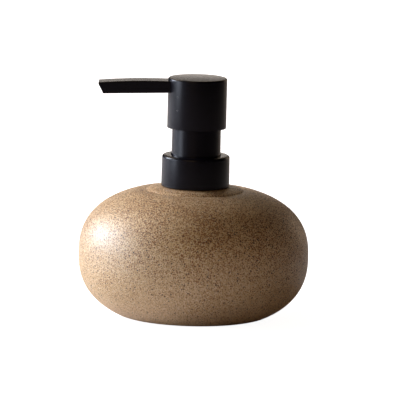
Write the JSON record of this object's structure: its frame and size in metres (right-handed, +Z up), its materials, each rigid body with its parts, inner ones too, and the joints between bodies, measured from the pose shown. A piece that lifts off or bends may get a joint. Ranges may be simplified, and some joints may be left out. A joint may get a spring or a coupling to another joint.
{
  "type": "soap pump dispenser",
  "caption": "Pebble-shaped speckled stoneware soap bottle with a black screw-on lotion pump: round push head, flat blade spout, neck sleeve and collar.",
  "frame": {"origin": "middle of the foot, on the surface the bottle stands on", "axes": "+Z up along the bottle's and the pump's common axis, -X the way the spout points"},
  "size_m": [0.115, 0.115, 0.12],
  "materials": {
    "stoneware": "speckled tan matte glaze",
    "black_plastic": "fine satin black",
    "natural_plastic": "natural moulded polypropylene",
    "soft_plastic": "translucent soft polyethylene",
    "seal": "matte",
    "steel": "bright drawn stainless wire"
  },
  "bodies": {
    "bottle": {"bottle_body": "stoneware", "thread_ring": "natural_plastic"},
    "pump_base": {"neck_gasket": "seal", "pump_housing": "natural_plastic", "neck_sleeve": "black_plastic", "chaplet": "natural_plastic", "stem_wiper": "seal", "spring_seat": "natural_plastic", "return_spring": "steel", "dip_tube": "soft_plastic"},
    "closure": {"collar_shell": "black_plastic", "closure_cap": "natural_plastic"},
    "plunger": {"stem": "natural_plastic", "piston_rod": "natural_plastic"},
    "piston": {"piston": "soft_plastic"},
    "head": {"head_shell": "black_plastic", "head_core": "natural_plastic", "spout": "black_plastic", "spout_liner": "soft_plastic"},
    "inlet_ball": {"inlet_ball": "steel"}
  },
  "joints": [
    {"name": "pump_lift", "type": "slide", "parent": "bottle", "child": "pump_base", "axis": [0, 0, 1], "range_m": [0, 0.076]},
    {"name": "closure_turn", "type": "hinge", "parent": "pump_base", "child": "closure", "pos_m": [0, 0, 0.073], "axis": [0, 0, 1], "range_deg": [0, 540]},
    {"name": "head_press", "type": "slide", "parent": "pump_base", "child": "plunger", "axis": [0, 0, -1], "range_m": [0, 0.012], "stiffness_N_per_m": 500, "springref_m": -0.012, "deforming": ["return_spring"]},
    {"name": "head_swivel", "type": "hinge", "parent": "plunger", "child": "head", "pos_m": [0, 0, 0.105], "axis": [0, 0, 1], "continuous": true},
    {"name": "piston_float", "type": "slide", "parent": "plunger", "child": "piston", "axis": [0, 0, 1], "range_m": [0, 0.0012]},
    {"name": "inlet_ball_lift", "type": "slide", "parent": "pump_base", "child": "inlet_ball", "axis": [0, 0, 1], "range_m": [0, 0.0018]}
  ]
}
